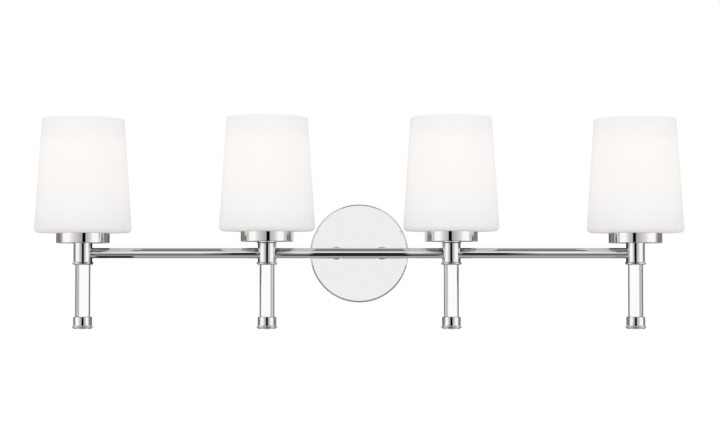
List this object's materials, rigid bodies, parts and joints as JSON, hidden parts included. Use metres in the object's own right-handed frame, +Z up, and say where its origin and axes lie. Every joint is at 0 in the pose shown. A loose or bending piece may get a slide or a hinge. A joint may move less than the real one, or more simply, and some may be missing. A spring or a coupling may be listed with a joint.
{
  "type": "vanity light bar",
  "caption": "Wall vanity light: a round back plate, a tube cross bar, upright tapered opal glass shades in cups, and clear stem rods with metal end caps below.",
  "frame": {"origin": "on the wall, at the middle of the back plate and between the two outlet box slots", "axes": "+X along the bar to the right as seen from the room, +Y into the wall, +Z up"},
  "size_m": [0.8046, 0.1594, 0.2618],
  "materials": {
    "chrome": "polished chrome plate",
    "zinc_steel": "zinc plated",
    "ground_green": "green lacquer",
    "brass": "bare",
    "clear_rod": "clear, polished",
    "socket_ceramic": "glazed",
    "opal_glass": "satin opal",
    "ring_aluminium": "turned",
    "washer_silicone": "matte",
    "bulb_glass": "frosted",
    "bulb_cap": "rolled"
  },
  "bodies": {
    "fixture": {"arm_left": "chrome", "arm_right": "chrome", "back_plate": "chrome", "bar_center": "chrome", "bar_left": "chrome", "bar_right": "chrome", "end_cap_1": "chrome", "end_cap_2": "chrome", "end_cap_3": "chrome", "end_cap_4": "chrome", "ground_screw": "ground_green", "hub_1": "chrome", "hub_2": "chrome", "hub_3": "chrome", "hub_4": "chrome", "lock_nuts": "zinc_steel", "mounting_bracket": "zinc_steel", "nipples": "zinc_steel", "shade_1": "opal_glass", "shade_2": "opal_glass", "shade_3": "opal_glass", "shade_4": "opal_glass", "shade_cup_1": "chrome", "shade_cup_2": "chrome", "shade_cup_3": "chrome", "shade_cup_4": "chrome", "socket_1": "socket_ceramic", "socket_2": "socket_ceramic", "socket_3": "socket_ceramic", "socket_4": "socket_ceramic", "socket_contacts": "brass", "stem_rod_1": "clear_rod", "stem_rod_2": "clear_rod", "stem_rod_3": "clear_rod", "stem_rod_4": "clear_rod", "stem_studs": "zinc_steel"},
    "bulb_1_foot": {"bulb_contact_1": "brass"},
    "bulb_1": {"bulb_glass_1": "bulb_glass", "bulb_cap_1": "bulb_cap"},
    "ring_1_washer": {"ring_washer_1": "washer_silicone"},
    "ring_1": {"shade_ring_1": "ring_aluminium"},
    "bulb_2_foot": {"bulb_contact_2": "brass"},
    "bulb_2": {"bulb_glass_2": "bulb_glass", "bulb_cap_2": "bulb_cap"},
    "ring_2_washer": {"ring_washer_2": "washer_silicone"},
    "ring_2": {"shade_ring_2": "ring_aluminium"},
    "bulb_3_foot": {"bulb_contact_3": "brass"},
    "bulb_3": {"bulb_glass_3": "bulb_glass", "bulb_cap_3": "bulb_cap"},
    "ring_3_washer": {"ring_washer_3": "washer_silicone"},
    "ring_3": {"shade_ring_3": "ring_aluminium"},
    "bulb_4_foot": {"bulb_contact_4": "brass"},
    "bulb_4": {"bulb_glass_4": "bulb_glass", "bulb_cap_4": "bulb_cap"},
    "ring_4_washer": {"ring_washer_4": "washer_silicone"},
    "ring_4": {"shade_ring_4": "ring_aluminium"},
    "side_left_washer": {"side_washer_left": "chrome"},
    "side_left": {"side_screw_left": "chrome"},
    "side_right_washer": {"side_washer_right": "chrome"},
    "side_right": {"side_screw_right": "chrome"}
  },
  "joints": [
    {"name": "bulb_1_lift", "type": "slide", "parent": "fixture", "child": "bulb_1_foot", "axis": [0, 0, 1], "range_m": [0, 0.01089]},
    {"name": "bulb_1_turn", "type": "hinge", "parent": "bulb_1_foot", "child": "bulb_1", "pos_m": [-0.3429, -0.1, 0.04505], "axis": [0, 0, 1], "range_deg": [0, 1080]},
    {"name": "ring_1_lift", "type": "slide", "parent": "fixture", "child": "ring_1_washer", "axis": [0, 0, 1], "range_m": [0, 0.005]},
    {"name": "ring_1_turn", "type": "hinge", "parent": "ring_1_washer", "child": "ring_1", "pos_m": [-0.3429, -0.1, 0.03305], "axis": [0, 0, 1], "range_deg": [0, 720]},
    {"name": "bulb_2_lift", "type": "slide", "parent": "fixture", "child": "bulb_2_foot", "axis": [0, 0, 1], "range_m": [0, 0.01089]},
    {"name": "bulb_2_turn", "type": "hinge", "parent": "bulb_2_foot", "child": "bulb_2", "pos_m": [-0.1143, -0.1, 0.04705], "axis": [0, 0, 1], "range_deg": [0, 1080]},
    {"name": "ring_2_lift", "type": "slide", "parent": "fixture", "child": "ring_2_washer", "axis": [0, 0, 1], "range_m": [0, 0.005]},
    {"name": "ring_2_turn", "type": "hinge", "parent": "ring_2_washer", "child": "ring_2", "pos_m": [-0.1143, -0.1, 0.03505], "axis": [0, 0, 1], "range_deg": [0, 720]},
    {"name": "bulb_3_lift", "type": "slide", "parent": "fixture", "child": "bulb_3_foot", "axis": [0, 0, 1], "range_m": [0, 0.01089]},
    {"name": "bulb_3_turn", "type": "hinge", "parent": "bulb_3_foot", "child": "bulb_3", "pos_m": [0.1143, -0.1, 0.04705], "axis": [0, 0, 1], "range_deg": [0, 1080]},
    {"name": "ring_3_lift", "type": "slide", "parent": "fixture", "child": "ring_3_washer", "axis": [0, 0, 1], "range_m": [0, 0.005]},
    {"name": "ring_3_turn", "type": "hinge", "parent": "ring_3_washer", "child": "ring_3", "pos_m": [0.1143, -0.1, 0.03505], "axis": [0, 0, 1], "range_deg": [0, 720]},
    {"name": "bulb_4_lift", "type": "slide", "parent": "fixture", "child": "bulb_4_foot", "axis": [0, 0, 1], "range_m": [0, 0.01089]},
    {"name": "bulb_4_turn", "type": "hinge", "parent": "bulb_4_foot", "child": "bulb_4", "pos_m": [0.3429, -0.1, 0.04505], "axis": [0, 0, 1], "range_deg": [0, 1080]},
    {"name": "ring_4_lift", "type": "slide", "parent": "fixture", "child": "ring_4_washer", "axis": [0, 0, 1], "range_m": [0, 0.005]},
    {"name": "ring_4_turn", "type": "hinge", "parent": "ring_4_washer", "child": "ring_4", "pos_m": [0.3429, -0.1, 0.03305], "axis": [0, 0, 1], "range_deg": [0, 720]},
    {"name": "side_screw_left_draw", "type": "slide", "parent": "fixture", "child": "side_left_washer", "axis": [-1, 0, 0], "range_m": [0, 0.0028]},
    {"name": "side_screw_left_turn", "type": "hinge", "parent": "side_left_washer", "child": "side_left", "pos_m": [-0.0635, -0.01, 0], "axis": [-1, 0, 0], "range_deg": [0, 1440]},
    {"name": "side_screw_right_draw", "type": "slide", "parent": "fixture", "child": "side_right_washer", "axis": [1, 0, 0], "range_m": [0, 0.0028]},
    {"name": "side_screw_right_turn", "type": "hinge", "parent": "side_right_washer", "child": "side_right", "pos_m": [0.0635, -0.01, 0], "axis": [1, 0, 0], "range_deg": [0, 1440]}
  ],
  "couplings": [
    {"joint": "bulb_1_lift", "follows": "bulb_1_turn", "m_per_rad": 0.00057757},
    {"joint": "ring_1_lift", "follows": "ring_1_turn", "m_per_rad": 0.00039789},
    {"joint": "bulb_2_lift", "follows": "bulb_2_turn", "m_per_rad": 0.00057757},
    {"joint": "ring_2_lift", "follows": "ring_2_turn", "m_per_rad": 0.00039789},
    {"joint": "bulb_3_lift", "follows": "bulb_3_turn", "m_per_rad": 0.00057757},
    {"joint": "ring_3_lift", "follows": "ring_3_turn", "m_per_rad": 0.00039789},
    {"joint": "bulb_4_lift", "follows": "bulb_4_turn", "m_per_rad": 0.00057757},
    {"joint": "ring_4_lift", "follows": "ring_4_turn", "m_per_rad": 0.00039789},
    {"joint": "side_screw_left_turn", "follows": "side_screw_left_draw", "rad_per_m": 8975.9},
    {"joint": "side_screw_right_turn", "follows": "side_screw_right_draw", "rad_per_m": 8975.9}
  ]
}
